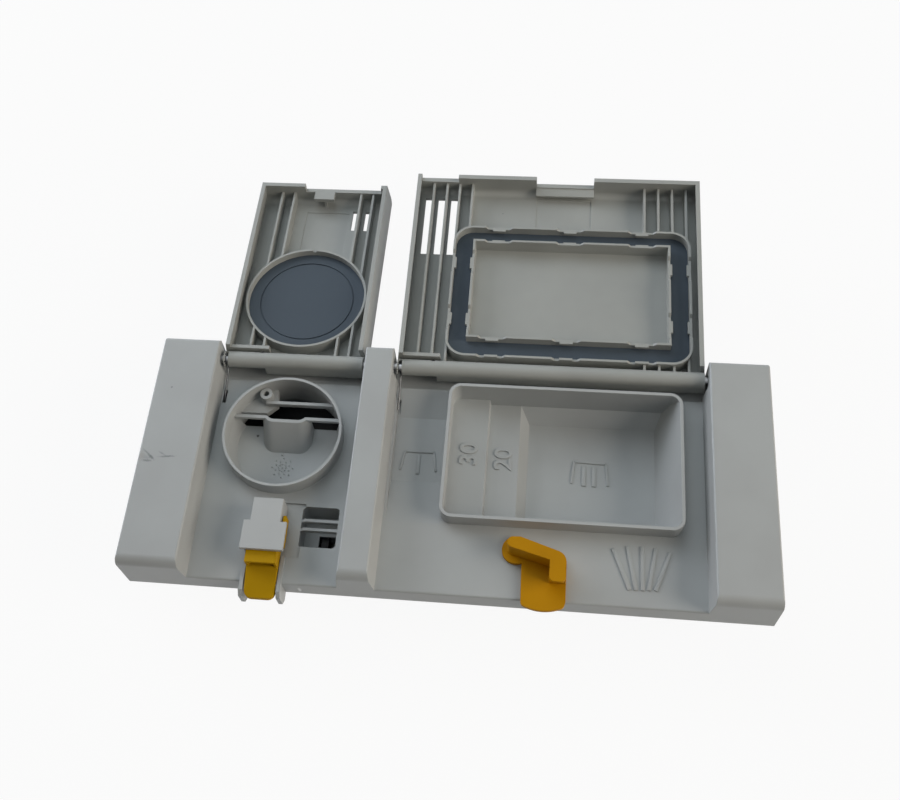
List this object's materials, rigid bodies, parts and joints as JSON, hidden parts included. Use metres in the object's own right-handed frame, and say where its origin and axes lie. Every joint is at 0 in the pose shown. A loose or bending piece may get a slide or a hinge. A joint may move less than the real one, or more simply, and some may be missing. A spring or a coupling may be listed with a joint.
{
  "type": "dishwasher door detergent and rinse aid dispenser",
  "caption": "Flat grey dispenser unit with a drafted detergent chamber, a round filler collar, two hinged lids with seals and yellow catches, and its release mechanism behind.",
  "frame": {"origin": "middle of the unit's width and depth on the plane of its back, where it rests lying down", "axes": "+X along the face with the detergent chamber on the +X side, +Y from the catch edge towards the hinge edge, +Z out of the face"},
  "size_m": [0.25, 0.1971, 0.0415],
  "materials": {
    "grey_abs": "moulded, fine matt",
    "white_pp": "moulded, plain",
    "yellow_pom": "moulded, satin",
    "blue_grey_rubber": "moulded, matt",
    "black_rubber": "moulded, matt",
    "steel_rod": "drawn",
    "spring_steel": "drawn, dull",
    "zinc_steel": "zinc plated",
    "coil_wire": "enamelled winding",
    "tab_brass": "tinned blades",
    "magnet": "sintered",
    "black_case": "moulded"
  },
  "bodies": {
    "frame": {"housing": "grey_abs", "tank_shell": "black_case", "mechanism_cover": "white_pp", "cover_screws": "zinc_steel", "door_gasket": "black_rubber", "latch_cover": "grey_abs", "rinse_hinge_pin": "steel_rod", "detergent_hinge_pin": "steel_rod", "rinse_lid_spring": "spring_steel", "detergent_lid_spring": "spring_steel", "latch_spring": "spring_steel", "lever_seal_ring": "black_rubber", "plunger_spring": "spring_steel", "solenoid_coil": "coil_wire", "solenoid_yoke": "zinc_steel", "terminal_block": "white_pp", "coil_terminals": "tab_brass", "float_rod": "steel_rod", "reed_switch": "black_case", "dosing_spring": "spring_steel"},
    "rinse_lid_body": {"rinse_lid": "grey_abs", "rinse_lid_seal": "blue_grey_rubber"},
    "detergent_lid_body": {"detergent_lid": "grey_abs", "detergent_lid_seal": "blue_grey_rubber"},
    "button_body": {"latch_button": "yellow_pom"},
    "lever_body": {"detergent_lever": "yellow_pom", "lever_crank": "white_pp"},
    "plunger_body": {"solenoid_plunger": "zinc_steel", "release_slider": "white_pp"},
    "float_body": {"float": "white_pp", "float_magnet": "magnet"},
    "dosing_body": {"dosing_rod": "white_pp", "dosing_seal": "black_rubber"}
  },
  "joints": [
    {"name": "rinse_lid_hinge", "type": "hinge", "parent": "frame", "child": "rinse_lid_body", "pos_m": [-0.0698, 0.0446, 0.0333], "axis": [1, 0, 0], "range_deg": [0, 184], "stiffness_Nm_per_rad": 0.004, "springref_deg": -20.05, "deforming": ["rinse_lid_spring"]},
    {"name": "detergent_lid_hinge", "type": "hinge", "parent": "frame", "child": "detergent_lid_body", "pos_m": [0.0372, 0.0446, 0.0333], "axis": [1, 0, 0], "range_deg": [0, 178], "stiffness_Nm_per_rad": 0.008, "springref_deg": -20.05, "deforming": ["detergent_lid_spring"]},
    {"name": "rinse_button_slide", "type": "slide", "parent": "frame", "child": "button_body", "axis": [0, 1, 0], "range_m": [-0.0025, 0.001], "stiffness_N_per_m": 150, "deforming": ["latch_spring"]},
    {"name": "plunger_slide", "type": "slide", "parent": "frame", "child": "plunger_body", "axis": [1, 0, 0], "range_m": [-0.00094, 0.00036], "stiffness_N_per_m": 300, "deforming": ["plunger_spring"]},
    {"name": "detergent_lever_turn", "type": "hinge", "parent": "frame", "child": "lever_body", "pos_m": [0.0278, -0.031, 0.028], "axis": [0, 0, 1], "range_deg": [-3.5, 9]},
    {"name": "float_slide", "type": "slide", "parent": "frame", "child": "float_body", "axis": [0, 1, 0], "range_m": [-0.016, 0.016]},
    {"name": "dosing_rod_slide", "type": "slide", "parent": "frame", "child": "dosing_body", "axis": [0, 1, 0], "range_m": [0, 0.0019], "stiffness_N_per_m": 200, "springref_m": -0.001, "deforming": ["dosing_spring"]}
  ],
  "couplings": [
    {"joint": "detergent_lever_turn", "follows": "plunger_slide", "rad_per_m": -166.67}
  ]
}
